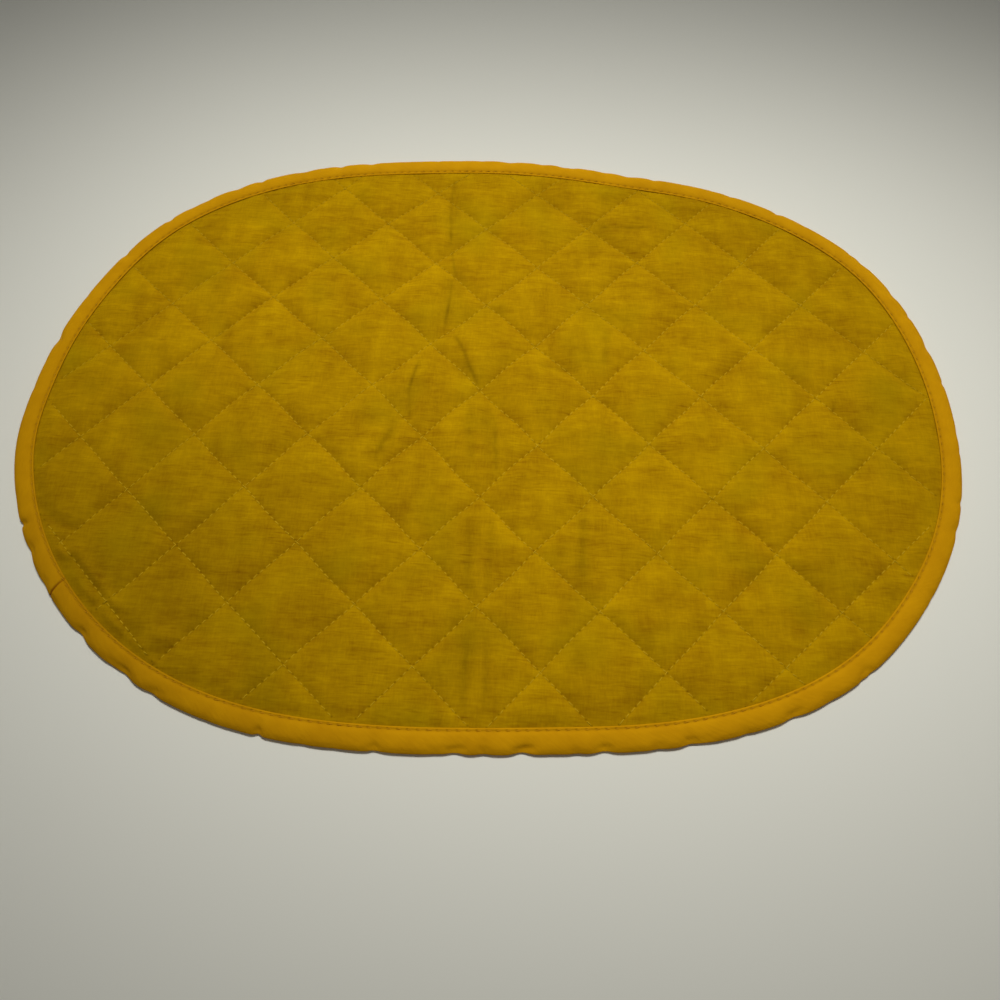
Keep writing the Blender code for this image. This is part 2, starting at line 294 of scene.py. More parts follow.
# Up round the rolled nose, over the upper layer to its row of stitches and its turned-in lip, back along
# the groove that holds the panel, and out under the lower layer.
BINDING_SECTION = (
    Corner(0, 1.0, 1),
    Corner(0.25, 1.38, 1),
    Corner(0.9, 1.84, 1),
    Corner(2.0, 2.45, 0.95),
    Corner(3.4, 3.0, 0.65),
    Corner(5.0, 3.27, 0.5),
    Corner(6.8, 3.32, 0.33),
    Corner(8.0, 3.12, 0.16),
    Corner(8.8, 2.85),
    Corner(9.3, 2.68),
    Corner(9.8, 2.8),
    Corner(10.25, 2.74),
    Corner(10.5, 2.56),
    Corner(10.3, 2.41),
    Corner(8.0, 2.4),
    Corner(5.5, 2.4),
    Corner(4.0, 2.25),
    Corner(3.75, 1.65),
    Corner(4.0, 1.05),
    Corner(5.5, 0.9),
    Corner(8.0, 0.9),
    Corner(10.3, 0.88),
    Corner(10.55, 0.5),
    Corner(10.2, 0.08),
    Corner(9.3, 0.2),
    Corner(8.4, 0.03),
    Corner(5.0, 0),
    Corner(1.4, 0),
    Corner(0.35, 0.4, 0.8),
)


# ---------------------------------------------------------------- shapes as functions


def polar(angle: Array) -> Array:
    """Work out the unit vectors of polar angles, as a last axis of x and y."""
    return np.stack([np.cos(angle), np.sin(angle)], axis=-1)


@dataclass(frozen=True)
class Ripples:
    """A smooth uneven field of a given rms height: a sum of plane waves in seeded directions."""

    wavelength: float
    height: float
    seed: int
    count: int = 18
    spread: float = 0.4

    def at(self, x: Array, y: Array) -> Array:
        """Work out the field: the sum of sin(2 pi distance / length + phase), times height sqrt(2 / count).

        Args:
            x, y: places in plan.

        Returns:
            The field's value at each place.
        """
        random = np.random.default_rng(self.seed)
        heading = random.uniform(0.0, TURN, self.count)
        length = self.wavelength * (1.0 + self.spread * random.uniform(-1.0, 1.0, self.count))
        phase = random.uniform(0.0, TURN, self.count)
        waves = (
            np.sin(TURN * (x * math.cos(turn) + y * math.sin(turn)) / wave + start)
            for turn, wave, start in zip(heading, length, phase)
        )
        return sum(waves) * self.height * math.sqrt(2.0 / self.count)


@dataclass(frozen=True)
class Outline:
    """The finished edge of the mat: a superellipse with shallow bulges and hollows."""

    half_length: float = 225.0 * MM
    half_width: float = 165.0 * MM
    roundness: float = 2.41

    def radius(self, angle: Array) -> Array:
        """Work out the edge's distance from the origin.

        It is (|cos / length| ** n + |sin / width| ** n) ** (-1 / n), plus a bell curve for each bulge.

        Args:
            angle: polar angles.

        Returns:
            The distance at each angle.
        """
        along = np.abs(np.cos(angle) / self.half_length) ** self.roundness
        across = np.abs(np.sin(angle) / self.half_width) ** self.roundness
        radius = (along + across) ** (-1.0 / self.roundness)
        return radius + MM * sum(bulge.at(angle) for bulge in BULGES)

    def outward(self, angle: Array) -> Array:
        """Work out the edge's outward direction: the gradient of the superellipse, made one long.

        Args:
            angle: polar angles.

        Returns:
            Unit vectors, with x and y as the last axis.
        """
        direction = polar(angle)
        slope = np.sign(direction) * np.abs(direction) ** (self.roundness - 1.0)
        slope = slope / np.array([self.half_length, self.half_width]) ** self.roundness
        return slope / np.linalg.norm(slope, axis=-1, keepdims=True)

    def edge_points(self, angle: Array, inset: Array) -> Array:
        """Work out points inside the edge: the rim point less its outward direction times the inset."""
        return polar(angle) * self.radius(angle)[..., None] - self.outward(angle) * inset[..., None]

    def depth_inside(self, x: Array, y: Array) -> Array:
        """Work out how far places lie inside the edge: what is left of the radius, times its lean.

        Args:
            x, y: places in plan.

        Returns:
            The distance of each place from the edge, positive inside.
        """
        angle = np.arctan2(y, x)
        lean = np.sum(self.outward(angle) * polar(angle), axis=-1)
        return (self.radius(angle) - np.hypot(x, y)) * lean


class Near(NamedTuple):
    """How places lie between two lines: the share of the way, and the gap to the nearer and the run on it."""

    share: Array
    gap: Array
    run: Array


def own_and_next(rows: Array, index: Array) -> tuple[Array, ...]:
    """Pick from a stack of rows, at each place, the row of its index and the one after."""
    return tuple(np.take_along_axis(rows, index[None] + step, axis=0)[0] for step in (0, 1))


@dataclass(frozen=True)
class SeamFamily:
    """Quilting lines that run side by side."""

    seams: tuple[Seam, ...]
    outline: Outline
    pitch_mm: float = 38.0
    sway_length: float = 300.0 * MM
    stray_ends_at: float = 0.94
    wander: float = 0.45 * MM
    wander_length: float = 41.0 * MM
    settling_rounds: int = 5

    @property
    def rows(self) -> tuple[Seam, ...]:
        """The lines with one more beyond each end, so that every place lies between two."""
        first = self.seams[0]._replace(offset_mm=self.seams[0].offset_mm - self.pitch_mm, bow_mm=0.0)
        last = self.seams[-1]._replace(offset_mm=self.seams[-1].offset_mm + self.pitch_mm, bow_mm=0.0)
        return (first, *self.seams, last)

    @property
    def courses(self) -> tuple[Array, Array]:
        """The angle and the offset of each row's straight course."""
        angles, offsets, *_ = np.array(self.rows).T
        return angles * DEG, offsets * MM

    def strays(self, x: Array, y: Array) -> Array:
        """Work out how far each line strays to its left of its straight course, level with each place.

        It is bow + sway * sin(2 pi along / length), and a small wander of the needle on each line, fading
        to nothing towards the mat's edge.

        Args:
            x, y: places in plan.

        Returns:
            One more first axis, a row for each line.
        """
        share = np.hypot(x, y) / self.outline.radius(np.arctan2(y, x))
        free = np.clip(1.0 - (share / self.stray_ends_at) ** 2, 0.0, 1.0)
        strays = []
        for number, seam in enumerate(self.rows):
            angle = seam.angle_deg * DEG
            along = TURN * (x * math.cos(angle) + y * math.sin(angle))
            sway = seam.sway_mm * MM * np.sin(along / self.sway_length)
            wander = self.wander * np.sin(along / self.wander_length + seam.offset_mm * number)
            strays.append((seam.bow_mm * MM + sway + wander) * free)
        return np.stack(strays)

    def near(self, x: Array, y: Array) -> Near:
        """Find where places lie between two lines, from their distances to all of them.

        Args:
            x, y: places in plan, one a row.

        Returns:
            How they lie to the two lines.
        """
        angles, offsets = self.courses
        straight = np.outer(np.cos(angles), y) - np.outer(np.sin(angles), x)
        distances = straight - offsets[:, None] - self.strays(x, y)
        index = np.clip((distances > 0).sum(axis=0) - 1, 0, len(angles) - 2)
        past, ahead = own_and_next(distances, index)
        nearer = angles[np.where(past < -ahead, index, index + 1)]
        run = x * np.cos(nearer) + y * np.sin(nearer)
        return Near(np.clip(past / (past - ahead), 0.0, 1.0), np.minimum(np.abs(past), np.abs(ahead)), run)

    def lattice_line(self, place: Array, x: Array, y: Array) -> tuple[Array, Array]:
        """Work out the straight line of lattice places level with the points: its angle and its offset.

        Between two seams, and a little beyond the outer ones, both are carried on in equal steps.

        Args:
            place: lattice places, where whole numbers are the lines of rows.
            x, y: where the lines are wanted, in plan.

        Returns:
            The angle and the offset at each point.
        """
        angles, offsets = self.courses
        index = np.clip(np.floor(place).astype(int), 0, len(angles) - 2)
        share = place - index
        here, ahead = own_and_next(self.strays(x, y), index)
        here, ahead = here + offsets[index], ahead + offsets[index + 1]
        return angles[index] + share * (angles[index + 1] - angles[index]), here + share * (ahead - here)

    def path(self, number: int, run: Array) -> Array:
        """Work out points of one line by the distance along it, settling its stray in a few rounds.

        Args:
            number: which of rows.
            run: distances along the line's straight course.

        Returns:
            The points, with x and y as the last axis.
        """
        angle, offset = (course[number] for course in self.courses)
        stray = np.zeros_like(run)
        for _ in range(self.settling_rounds):
            left = offset + stray
            x = run * math.cos(angle) - left * math.sin(angle)
            y = run * math.sin(angle) + left * math.cos(angle)
            stray = self.strays(x, y)[number]
        return np.stack([x, y], axis=-1)


@dataclass(frozen=True)
class Quilting:
    """The quilted cloth's two faces as heights over the plan, and the places of its stitches."""

    outline: Outline
    seam_top: float = 2.1 * MM
    puff: float = 2.0 * MM
    puff_squareness: float = 4.6
    puff_rise: float = 8.0 * MM
    unevenness: float = 0.14
    uneven_length: float = 195.0 * MM
    uneven_width: float = 145.0 * MM
    uneven_shift: float = 23.0 * MM
    swells: Ripples = Ripples(75.0 * MM, 0.14, seed=21)
    fold_limit: float = 0.6

    lumps: Ripples = Ripples(19.0 * MM, 0.16 * MM, seed=4)
    wrinkles: Ripples = Ripples(8.0 * MM, 0.05 * MM, seed=9)
    pull_height: float = 0.12 * MM
    pull_length: float = 8.1 * MM
    pull_reach: float = 4.5 * MM
    pull_start: float = 1.2 * MM
    pull_drift: float = 1.7
    pull_drift_length: float = 47.0 * MM

    visible_inset: float = 11.1 * MM
    snug_start: float = 9.6 * MM
    snug_width: float = 1.8 * MM
    snug_lift: float = 0.34 * MM
    snug_reach: float = 7.0 * MM
    snug_waves: Ripples = Ripples(27.0 * MM, 0.5, seed=45)
    snug_limits: tuple[float, float] = (0.2, 1.7)
    gather_count: int = 74
    gather_crowding: float = 2.6
    gather_crowds: int = 9
    gathering: Ripples = Ripples(90.0 * MM, 0.4, seed=33)
    gather_evenness: float = 0.6
    gather_height: float = 0.3 * MM
    gather_reach: float = 8.0 * MM
    ridge_start: float = 10.4 * MM
    ridge_rise: float = 3.0 * MM

    back_groove: float = 0.55 * MM
    back_groove_width: float = 3.0 * MM
    tongue_bottom: float = 1.2 * MM
    back_rise: float = 4.0 * MM
    stitch_margin: float = 11.7 * MM

    @property
    def families(self) -> dict[str, SeamFamily]:
        """Both families of quilting lines, by name."""
        tables = {"falling": FALLING_SEAMS, "rising": RISING_SEAMS}
        return {name: SeamFamily(seams, self.outline) for name, seams in tables.items()}

    def pulls(self, near: Near) -> Array:
        """Work out the small wrinkles square to a line: a wave along it that dies away beside it.

        Args:
            near: how the places lie to the lines of one family.

        Returns:
            The heights that they add.
        """
        drift = self.pull_drift * np.sin(TURN * near.run / self.pull_drift_length)
        wave = np.sin(TURN * near.run / self.pull_length + drift)
        fade = np.exp(-near.gap / self.pull_reach) * near.gap / (near.gap + self.pull_start)
        return self.pull_height * wave * fade

    def face(self, x: Array, y: Array) -> Array:
        """Work out the height of the face.

        The cloth is pressed down along both families of lines and puffs up between them by the product
        of 1 - |1 - 2 s| ** squareness over the two shares s, swelling and sinking in broad waves.  It sinks
        as far as the deepest fold at each place, and lumps of filling and wrinkles roughen it.

        Args:
            x, y: places in plan.

        Returns:
            The heights.
        """
        places = [family.near(x, y) for family in self.families.values()]
        rise = ramp(self.outline.depth_inside(x, y), self.visible_inset, self.puff_rise)
        full = rise * (2.0 - rise)
        for near in places:
            full = full * (1.0 - np.abs(1.0 - 2.0 * near.share) ** self.puff_squareness)
        across = TURN * (y + self.uneven_shift) / self.uneven_width
        swell = 1.0 + self.unevenness * np.sin(TURN * x / self.uneven_length) * np.sin(across)
        puff = self.puff * full * (swell + self.swells.at(x, y))
        sunk = np.max([fold.depth(x, y) for fold in FOLDS + CREASES], axis=0)
        sunk = np.minimum(sunk, self.fold_limit * puff)
        rough = self.lumps.at(x, y) + self.wrinkles.at(x, y)
        pulls = sum(self.pulls(near) for near in places) * np.sqrt(rise)
        return self.seam_top + puff - sunk + rough * full + pulls + self.rim_relief(x, y)

    def rim_relief(self, x: Array, y: Array) -> Array:
        """Work out what the binding does to the cloth: it stands up against the lip, and gathers there.

        Small gathers run all round, sin(count * angle + crowding * sin(crowds * angle)), and the table's
        ridges are added to them.

        Args:
            x, y: places in plan.

        Returns:
            The heights that it adds.
        """
        inside = self.outline.depth_inside(x, y)
        start = eased(ramp(inside, self.snug_start, self.snug_width))
        beyond = np.maximum(inside - self.visible_inset, 0.0)
        uneven = np.clip(1.0 + self.snug_waves.at(x, y), *self.snug_limits)
        snug = self.snug_lift * uneven * np.exp(-beyond / self.snug_reach)
        angle = np.arctan2(y, x)
        waves = np.sin(self.gather_count * angle + self.gather_crowding * np.sin(self.gather_crowds * angle))
        size = self.gather_evenness + self.gathering.at(x, y)
        fade = np.exp(-beyond / self.gather_reach) * ramp(beyond, 0.0, self.snug_width)
        gather = self.gather_height * np.clip(size, 0.0, 1.0) * waves * fade
        ridges = sum(ridge.depth(x, y) for ridge in RIDGES)
        return start * (snug + gather) - ramp(inside, self.ridge_start, self.ridge_rise) * ridges

    def back(self, x: Array, y: Array) -> Array:
        """Work out the height of the back.

        It lies on the table between the lines, lifts to a shallow groove along each, and rises to the
        binding's groove at the rim.

        Args:
            x, y: places in plan.

        Returns:
            The heights.
        """
        gap = np.minimum(*(family.near(x, y).gap for family in self.families.values()))
        groove = self.back_groove * np.exp(-gap / self.back_groove_width)
        rise = 1.0 - ramp(self.outline.depth_inside(x, y), self.visible_inset, self.back_rise)
        return np.maximum(groove, self.tongue_bottom * eased(rise))

    def height(self, side: Side, x: Array, y: Array) -> Array:
        """Work out the height of either side."""
        return self.face(x, y) if side is Side.FACE else self.back(x, y)

    def stitches(self, side: Side, pitch: float) -> tuple[Array, Array]:
        """Find the middle of every quilting stitch, half a pitch from its needle holes, and its heading.

        Args:
            side: which side the stitches lie on.
            pitch: the distance between needle holes.

        Returns:
            The middles on the cloth, one a row, and the polar angle of each one's line.
        """
        reach = 2 * round(self.outline.half_length / pitch)
        run = np.arange(-reach, reach + 1) * pitch / 2.0
        middles, headings = [], []
        for family in self.families.values():
            for number in range(1, len(family.seams) + 1):
                path = family.path(number, run)
                plan, step = path[1::2], path[2::2] - path[:-2:2]
                keep = self.outline.depth_inside(*plan.T) > self.stitch_margin
                middles.append(plan[keep])
                headings.append(np.arctan2(step[keep, 1], step[keep, 0]))
        plan = np.concatenate(middles)
        height = self.height(side, *plan.T)
        return np.column_stack([plan, height]), np.concatenate(headings)


def make_piece(
    name: str,
    points: Array,
    faces: list[Array],
    material: Material,
    floats: dict[str, Array] | None = None,
) -> Piece:
    """Put a worked-out surface in a smooth-shaded object at the origin.

    Args:
        name: the piece's name.
        points: its points, one a row.
        faces: tables of point numbers, one face a row; the tables may have different widths.
        material: its finish.
        floats: values for each point, by attribute name.

    Returns:
        The new object, linked to the scene.
    """
    mesh = bpy.data.meshes.new(name)
    mesh.from_pydata(points.tolist(), [], [face for table in faces for face in table.tolist()])
    for key, values in (floats or {}).items():
        data = mesh.attributes.new(key, "FLOAT", "POINT").data
        data.foreach_set("value", values.astype(np.float32).ravel())
    mesh.shade_smooth()
    mesh.materials.append(material)
    piece = bpy.data.objects.new(name, mesh)
    bpy.context.scene.collection.objects.link(piece)
    triangles = sum(len(table) * (table.shape[1] - 2) for table in faces)
    LOG.info("%s: %d points, %d triangles", name, len(points), triangles)
    return piece


# ---------------------------------------------------------------- shader maths


def math_method(operation: str, flipped: bool = False) -> Callable[..., "Value"]:
    """Make a method of Value that adds a Math node.

    Args:
        operation: the node's operation.
        flipped: whether the value comes after the other term, as in a reflected operator.

    Returns:
        The method.
    """

    def method(value: "Value", *others: "Value | float") -> "Value":
        """Join the value and the other terms."""
        terms = (*others, value) if flipped else (value, *others)
        made = value.shader.node("ShaderNodeMath", {"operation": operation}, dict(enumerate(terms)))
        return Value(value.shader, made.outputs[0])

    return method


class Value:
    """A number that varies over a surface: an output socket, on which sums are written as Python."""

    __add__ = __radd__ = math_method("ADD")
    __mul__ = __rmul__ = math_method("MULTIPLY")
    __sub__ = math_method("SUBTRACT")
    __rsub__ = math_method("SUBTRACT", flipped=True)
    __truediv__ = math_method("DIVIDE")
    __pow__ = math_method("POWER")
    sin = math_method("SINE")
    cos = math_method("COSINE")
    exp = math_method("EXPONENT")
    at_least = math_method("MAXIMUM")
    at_most = math_method("MINIMUM")

    def __init__(self, shader: "Shader", socket: Socket) -> None:
        """Wrap a socket of a shader's node."""
        self.shader = shader
        self.socket = socket

    def clamped(self) -> "Value":
        """Keep it from 0 to 1."""
        return self.at_least(0.0).at_most(1.0)

    def bell(self) -> "Value":
        """Work out a bell curve: exp(-value ** 2)."""
        return (self * self * -1.0).exp()


def needle_holes(gap: Value, run: Value, size: float, pitch: float) -> Value:
    """Mark the holes along a line: a bell curve of gap / size, times cos(pi run / pitch) ** 12."""
    beat = (run * (math.pi / pitch)).cos()
    return (gap / size).bell() * (beat * beat) ** 6.0


def weave(over: Value, under: Value, pitch: float) -> Value:
    """Work out a plain weave's relief: sin(2 pi over / pitch) * sin(2 pi under / pitch)."""
    return (over * (TURN / pitch)).sin() * (under * (TURN / pitch)).sin()


class Lumps(NamedTuple):
    """Soft random lumps: their size both ways and their strength, and the pattern's number and octaves."""

    along_mm: float
    across_mm: float
    strength: float
    number: float
    octaves: float = 0.0


class Shader:
    """One material's nodes, made by name."""

    def __init__(self, name: str) -> None:
        """Start a material of that name with only its output."""
        self.material = bpy.data.materials.new(name)
        self.material.use_nodes = True
        self.tree = self.material.node_tree
        self.tree.nodes.clear()
        self.output = self.node("ShaderNodeOutputMaterial")

    def node(self, kind: str, settings: dict | None = None, sockets: dict | None = None) -> bpy.types.Node:
        """Add a node.

        Args:
            kind: the node's type.
            settings: its properties, set first.
            sockets: values or links of its inputs, by name or number.

        Returns:
            The new node.
        """
        made = self.tree.nodes.new(kind)
        for key, value in (settings or {}).items():
            setattr(made, key, value)
        for key, value in (sockets or {}).items():
            value = value.socket if isinstance(value, Value) else value
            if isinstance(value, Socket):
                self.tree.links.new(value, made.inputs[key])
            else:
                made.inputs[key].default_value = value
        return made

    def place(self, uv_map: str = "") -> tuple[Value, ...]:
        """Read where a place is, in metres: in the mat's frame, or along and across a strip by its UV map.

        Args:
            uv_map: the UV map's name, or nothing for the Object coordinates.

        Returns:
            The x, y and z values.
        """
        made = self.node("ShaderNodeUVMap", {"uv_map": uv_map}) if uv_map else self.node("ShaderNodeTexCoord")
        split = self.node("ShaderNodeSeparateXYZ", sockets={0: made.outputs["UV" if uv_map else "Object"]})
        return tuple(Value(self, socket) for socket in split.outputs)

    def painted_light_clouds(self) -> Value:
        """Work out the painted light and shade of the clouds: 1 + lightness * a bell curve of the distance,
        for each cloud.

        Returns:
            The share of the colour that the clouds leave.
        """
        x, y, _ = self.place()
        light = 1.0
        for cloud in PAINTED_LIGHT_CLOUDS:
            east = (x - cloud.middle_mm[0] * MM) / (cloud.reach_mm * MM)
            north = (y - cloud.middle_mm[1] * MM) / (cloud.reach_mm * MM)
            light = light * (east.bell() * north.bell() * cloud.lightness + 1.0)
        return light

    def attribute(self, name: str) -> Value:
        """Read a number that the mesh holds for each point."""
        return Value(self, self.node("ShaderNodeAttribute", {"attribute_name": name}).outputs["Fac"])

    def noise(self, along: Value, across: Value, lumps: Lumps) -> Value:
        """Sample smooth noise, from about -strength to strength.

        Args:
            along, across: distances both ways, in metres.
            lumps: the sizes and the strength.

        Returns:
            The noise at each place.
        """
        place = {0: along / (lumps.along_mm * MM), 1: across / (lumps.across_mm * MM), 2: lumps.number}
        vector = self.node("ShaderNodeCombineXYZ", sockets=place).outputs[0]
        sockets = {"Vector": vector, "Scale": 1.0, "Detail": lumps.octaves, "Roughness": 0.55}
        made = self.node("ShaderNodeTexNoise", {"noise_dimensions": "3D", "normalize": False}, sockets)
        return Value(self, made.outputs["Fac"]) * lumps.strength

    def blend(self, share: Value, low: Colour | Socket, high: Colour) -> Socket:
        """Mix two linear colours, of which the low one may be a socket, by the share of the high one."""
        sockets = {0: share, 6: (*low, 1.0) if isinstance(low, tuple) else low, 7: (*high, 1.0)}
        return self.node("ShaderNodeMix", {"data_type": "RGBA"}, sockets).outputs[2]

    def dim(self, colour: Socket, share: Value) -> Socket:
        """Scale a colour by a value."""
        sockets = {0: colour, "Scale": share}
        return self.node("ShaderNodeVectorMath", {"operation": "SCALE"}, sockets).outputs[0]

    def finish(self, sockets: dict, height: Value | None = None) -> Material:
        """Close the material with a Principled shader and, with a height in metres, its bump.

        Args:
            sockets: values and links for the Principled shader.
            height: the fine relief, or None.

        Returns:
            The material.
        """
        if height is not None:
            bump = self.node("ShaderNodeBump", sockets={"Strength": 1.0, "Distance": 1.0, "Height": height})
            sockets = {**sockets, "Normal": bump.outputs[0]}
        shader = self.node("ShaderNodeBsdfPrincipled", sockets=sockets)
        self.tree.links.new(shader.outputs[0], self.output.inputs[0])
        return self.material


# ---------------------------------------------------------------- finishes


@dataclass(frozen=True)
class SlubCotton:
    """Mustard slub cotton: streaks along both yarns, clouds of painted light and shade, fold lines darkened
    by painted shade and wear, and pinched needle holes.
    """

    deep: Colour = (0.224, 0.0885, 0.0003)
    bright: Colour = (0.597, 0.347, 0.0006)
    olive: Colour = (0.32, 0.222, 0.0006)
    olive_patches: Lumps = Lumps(34.0, 34.0, 0.42, 97, 1)
    middle: float = 0.56
    weft: tuple[Lumps, ...] = (
        Lumps(10.0, 2.0, 0.095, 1, 1),
        Lumps(5.5, 0.9, 0.135, 7, 1),
        Lumps(24.0, 4.2, 0.14, 11),
    )
    warp: tuple[Lumps, ...] = (
        Lumps(7.0, 1.7, 0.065, 13, 1),
        Lumps(3.5, 0.8, 0.085, 19, 1),
        Lumps(19.0, 5.5, 0.1, 43),
    )
    thick_yarns: Lumps = Lumps(11.0, 0.9, 1.0, 53, 1)
    thick_above: float = 0.26
    thick_patches: Lumps = Lumps(31.0, 31.0, 1.0, 71)
    thick_share: float = 0.45
    thick_shade: float = 0.5
    patches: Lumps = Lumps(21.0, 21.0, 0.17, 23, 2)
    wander: Lumps = Lumps(26.0, 26.0, 0.5 * MM, 31)

    yarn_pitch: float = 0.46 * MM
    yarn_height: float = 0.035 * MM
    slub_height: float = 0.04 * MM
    fold_sharpness: float = 1.15
    fold_wander: float = 2.0
    fold_patches: Lumps = Lumps(7.0, 7.0, 0.55, 83, 1)
    fold_evenness: float = 0.68
    hole_pitch: float = 3.6 * MM
    hole_size: float = 0.42 * MM
    hole_depth: float = 0.2 * MM
    hole_shade: float = 0.26

    def crease_shade_and_wear(self, shader: Shader, wander: Value) -> Value:
        """Work out how dark the painted shade and wear along the fold lines are: bell curves, times 1 - (2
        share - 1) ** 4 along them.

        Args:
            shader: the material being made.
            wander: how far the lines stray sideways.

        Returns:
            The share of the colour that they take away.
        """
        x, y, _ = shader.place()
        marks = 0.0
        for fold in FOLDS + CREASES:
            along, beside = fold.measure(x, y)
            square = (along * (2.0 / fold.length) - 1.0) ** 2.0
            across = (beside + wander) * (self.fold_sharpness / (fold.width_mm * MM))
            marks = marks + (1.0 - square * square).clamped() * across.bell() * fold.shade
        return marks * (shader.noise(x, y, self.fold_patches) + self.fold_evenness).clamped()

    def material(self, name: str) -> Material:
        """Make the material, whose tone is the sum of the streaks and patches of its yarns.

        Args:
            name: its name.

        Returns:
            The material.
        """
        shader = Shader(name)
        x, y, _ = shader.place()
        wander = shader.noise(x, y, self.wander)
        weft = sum(shader.noise(x, y + wander, slubs) for slubs in self.weft)
        warp = sum(shader.noise(y, x + wander, slubs) for slubs in self.warp)
        thick = (shader.noise(x, y + wander, self.thick_yarns) - self.thick_above).clamped()
        where = (shader.noise(x, y, self.thick_patches) + self.thick_share).clamped()
        tone = weft + warp + shader.noise(x, y, self.patches) + self.middle - thick * where * self.thick_shade
        holes = 0.0
        for family in ("falling", "rising"):
            gap, run = (shader.attribute(f"{family}_{way}") for way in ("gap", "run"))
            holes = holes + needle_holes(gap, run, self.hole_size, self.hole_pitch)
        crease_shade_and_wear = self.crease_shade_and_wear(shader, wander * self.fold_wander)
        # The clouds, the needle holes and the fold lines dim the colour as painted light and shade, the fold
        # lines partly as wear.
        light = shader.painted_light_clouds() * (1.0 - holes * self.hole_shade) * (1.0 - crease_shade_and_wear)
        cloth = shader.blend(tone.clamped(), self.deep, self.bright)
        cloth = shader.blend(shader.noise(x, y, self.olive_patches).clamped(), cloth, self.olive)
        sockets = {
            "Base Color": shader.dim(cloth, light),
            "Roughness": 0.88,
            "Specular IOR Level": 0.02,
            "Sheen Weight": 0.6,
            "Sheen Roughness": 0.4,
            "Sheen Tint": (1.0, 0.62, 0.01, 1.0),
        }
        yarns = weave(x + wander, y + wander, self.yarn_pitch) * self.yarn_height
        return shader.finish(sockets, yarns + (weft + warp) * self.slub_height - holes * self.hole_depth)


@dataclass(frozen=True)
class BindingCotton:
    """Plain orange-gold cotton, cut on the bias: a fine even weave, patches of dye, clouds of painted light
    and shade, and slanting crinkles.
    """

    deep: Colour = (0.477, 0.212, 0.0014)
    bright: Colour = (0.72, 0.36, 0.0027)
    patches: Lumps = Lumps(11.0, 11.0, 0.2, 3, 2)
    middle: float = 0.5
    crinkles: Lumps = Lumps(2.3, 7.0, 1.0, 37, 1)
    crinkle_height: float = 0.05 * MM
    crinkle_shade: float = 0.05
    yarn_pitch: float = 0.36 * MM
    yarn_height: float = 0.010 * MM
    hole_pitch: float = 4.1 * MM
    hole_inset: float = 9.3 * MM
    hole_size: float = 0.45 * MM
    hole_depth: float = 0.16 * MM
    hole_shade: float = 0.3
    valley_width: float = 0.6 * MM
    valley_shade: float = 0.16
    join_dirt_and_shade_colour: Colour = (0.17, 0.038, 0.001)

    def material(self, name: str) -> Material:
        """Make the material, whose weave and crinkles slant across the strip.

        Args:
            name: its name.

        Returns:
            The material.
        """
        shader = Shader(name)
        x, y, _ = shader.place()
        run, inset, _ = shader.place("strip")
        over, under = run + inset, run - inset
        crinkles = shader.noise(over, under, self.crinkles)
        tone = (shader.noise(x, y, self.patches) + crinkles * self.crinkle_shade + self.middle).clamped()
        beside = inset - self.hole_inset
        holes = needle_holes(beside, run, self.hole_size, self.hole_pitch)
        valley = (beside / self.valley_width).bell() * self.valley_shade
        # The clouds, the needle holes and the stitched valley dim the colour: painted light and shade.
        light = shader.painted_light_clouds() * (1.0 - holes * self.hole_shade) * (1.0 - valley)
        cloth = shader.dim(shader.blend(tone, self.deep, self.bright), light)
        sockets = {
            # The join's slit turns dark: partly a dark joint, partly painted shade in the slit.
            "Base Color": shader.blend(shader.attribute("join"), cloth, self.join_dirt_and_shade_colour),
            "Roughness": 0.8,
            "Specular IOR Level": 0.02,
        }
        relief = weave(over, under, self.yarn_pitch) * self.yarn_height + crinkles * self.crinkle_height
        return shader.finish(sockets, relief - holes * self.hole_depth)


@dataclass(frozen=True)
class ThreadFinish:
    """Twisted sewing thread."""

    deep: Colour
    bright: Colour
    twist: float = 0.45 * MM
    slant: tuple[float, float] = (0.6, 1.3)
    middle: float = 0.5
    ply_share: float = 0.3
    patches: Lumps = Lumps(2.0, 2.0, 0.3, 5)

    def material(self, name: str) -> Material:
        """Make the material, with its plies as a wave that slants over the thread.

        Args:
            name: its name.

        Returns:
            The material.
        """
        shader = Shader(name)
        x, y, z = shader.place()
        plies = ((x + y * self.slant[0] + z * self.slant[1]) * (TURN / self.twist)).sin()
        tone = (plies * self.ply_share + shader.noise(x, y, self.patches) + self.middle).clamped()
        sockets = {
            "Base Color": shader.blend(tone, self.deep, self.bright),
            "Roughness": 0.6,
            "Specular IOR Level": 0.05,
            "Sheen Weight": 0.2,
            "Sheen Tint": (1.0, 0.78, 0.12, 1.0),
        }
        return shader.finish(sockets)


QUILTING_THREAD = ThreadFinish((0.40, 0.24, 0.003), (0.64, 0.41, 0.012))
BINDING_THREAD = ThreadFinish((0.38, 0.155, 0.002), (0.62, 0.30, 0.004))


# ---------------------------------------------------------------- the pieces


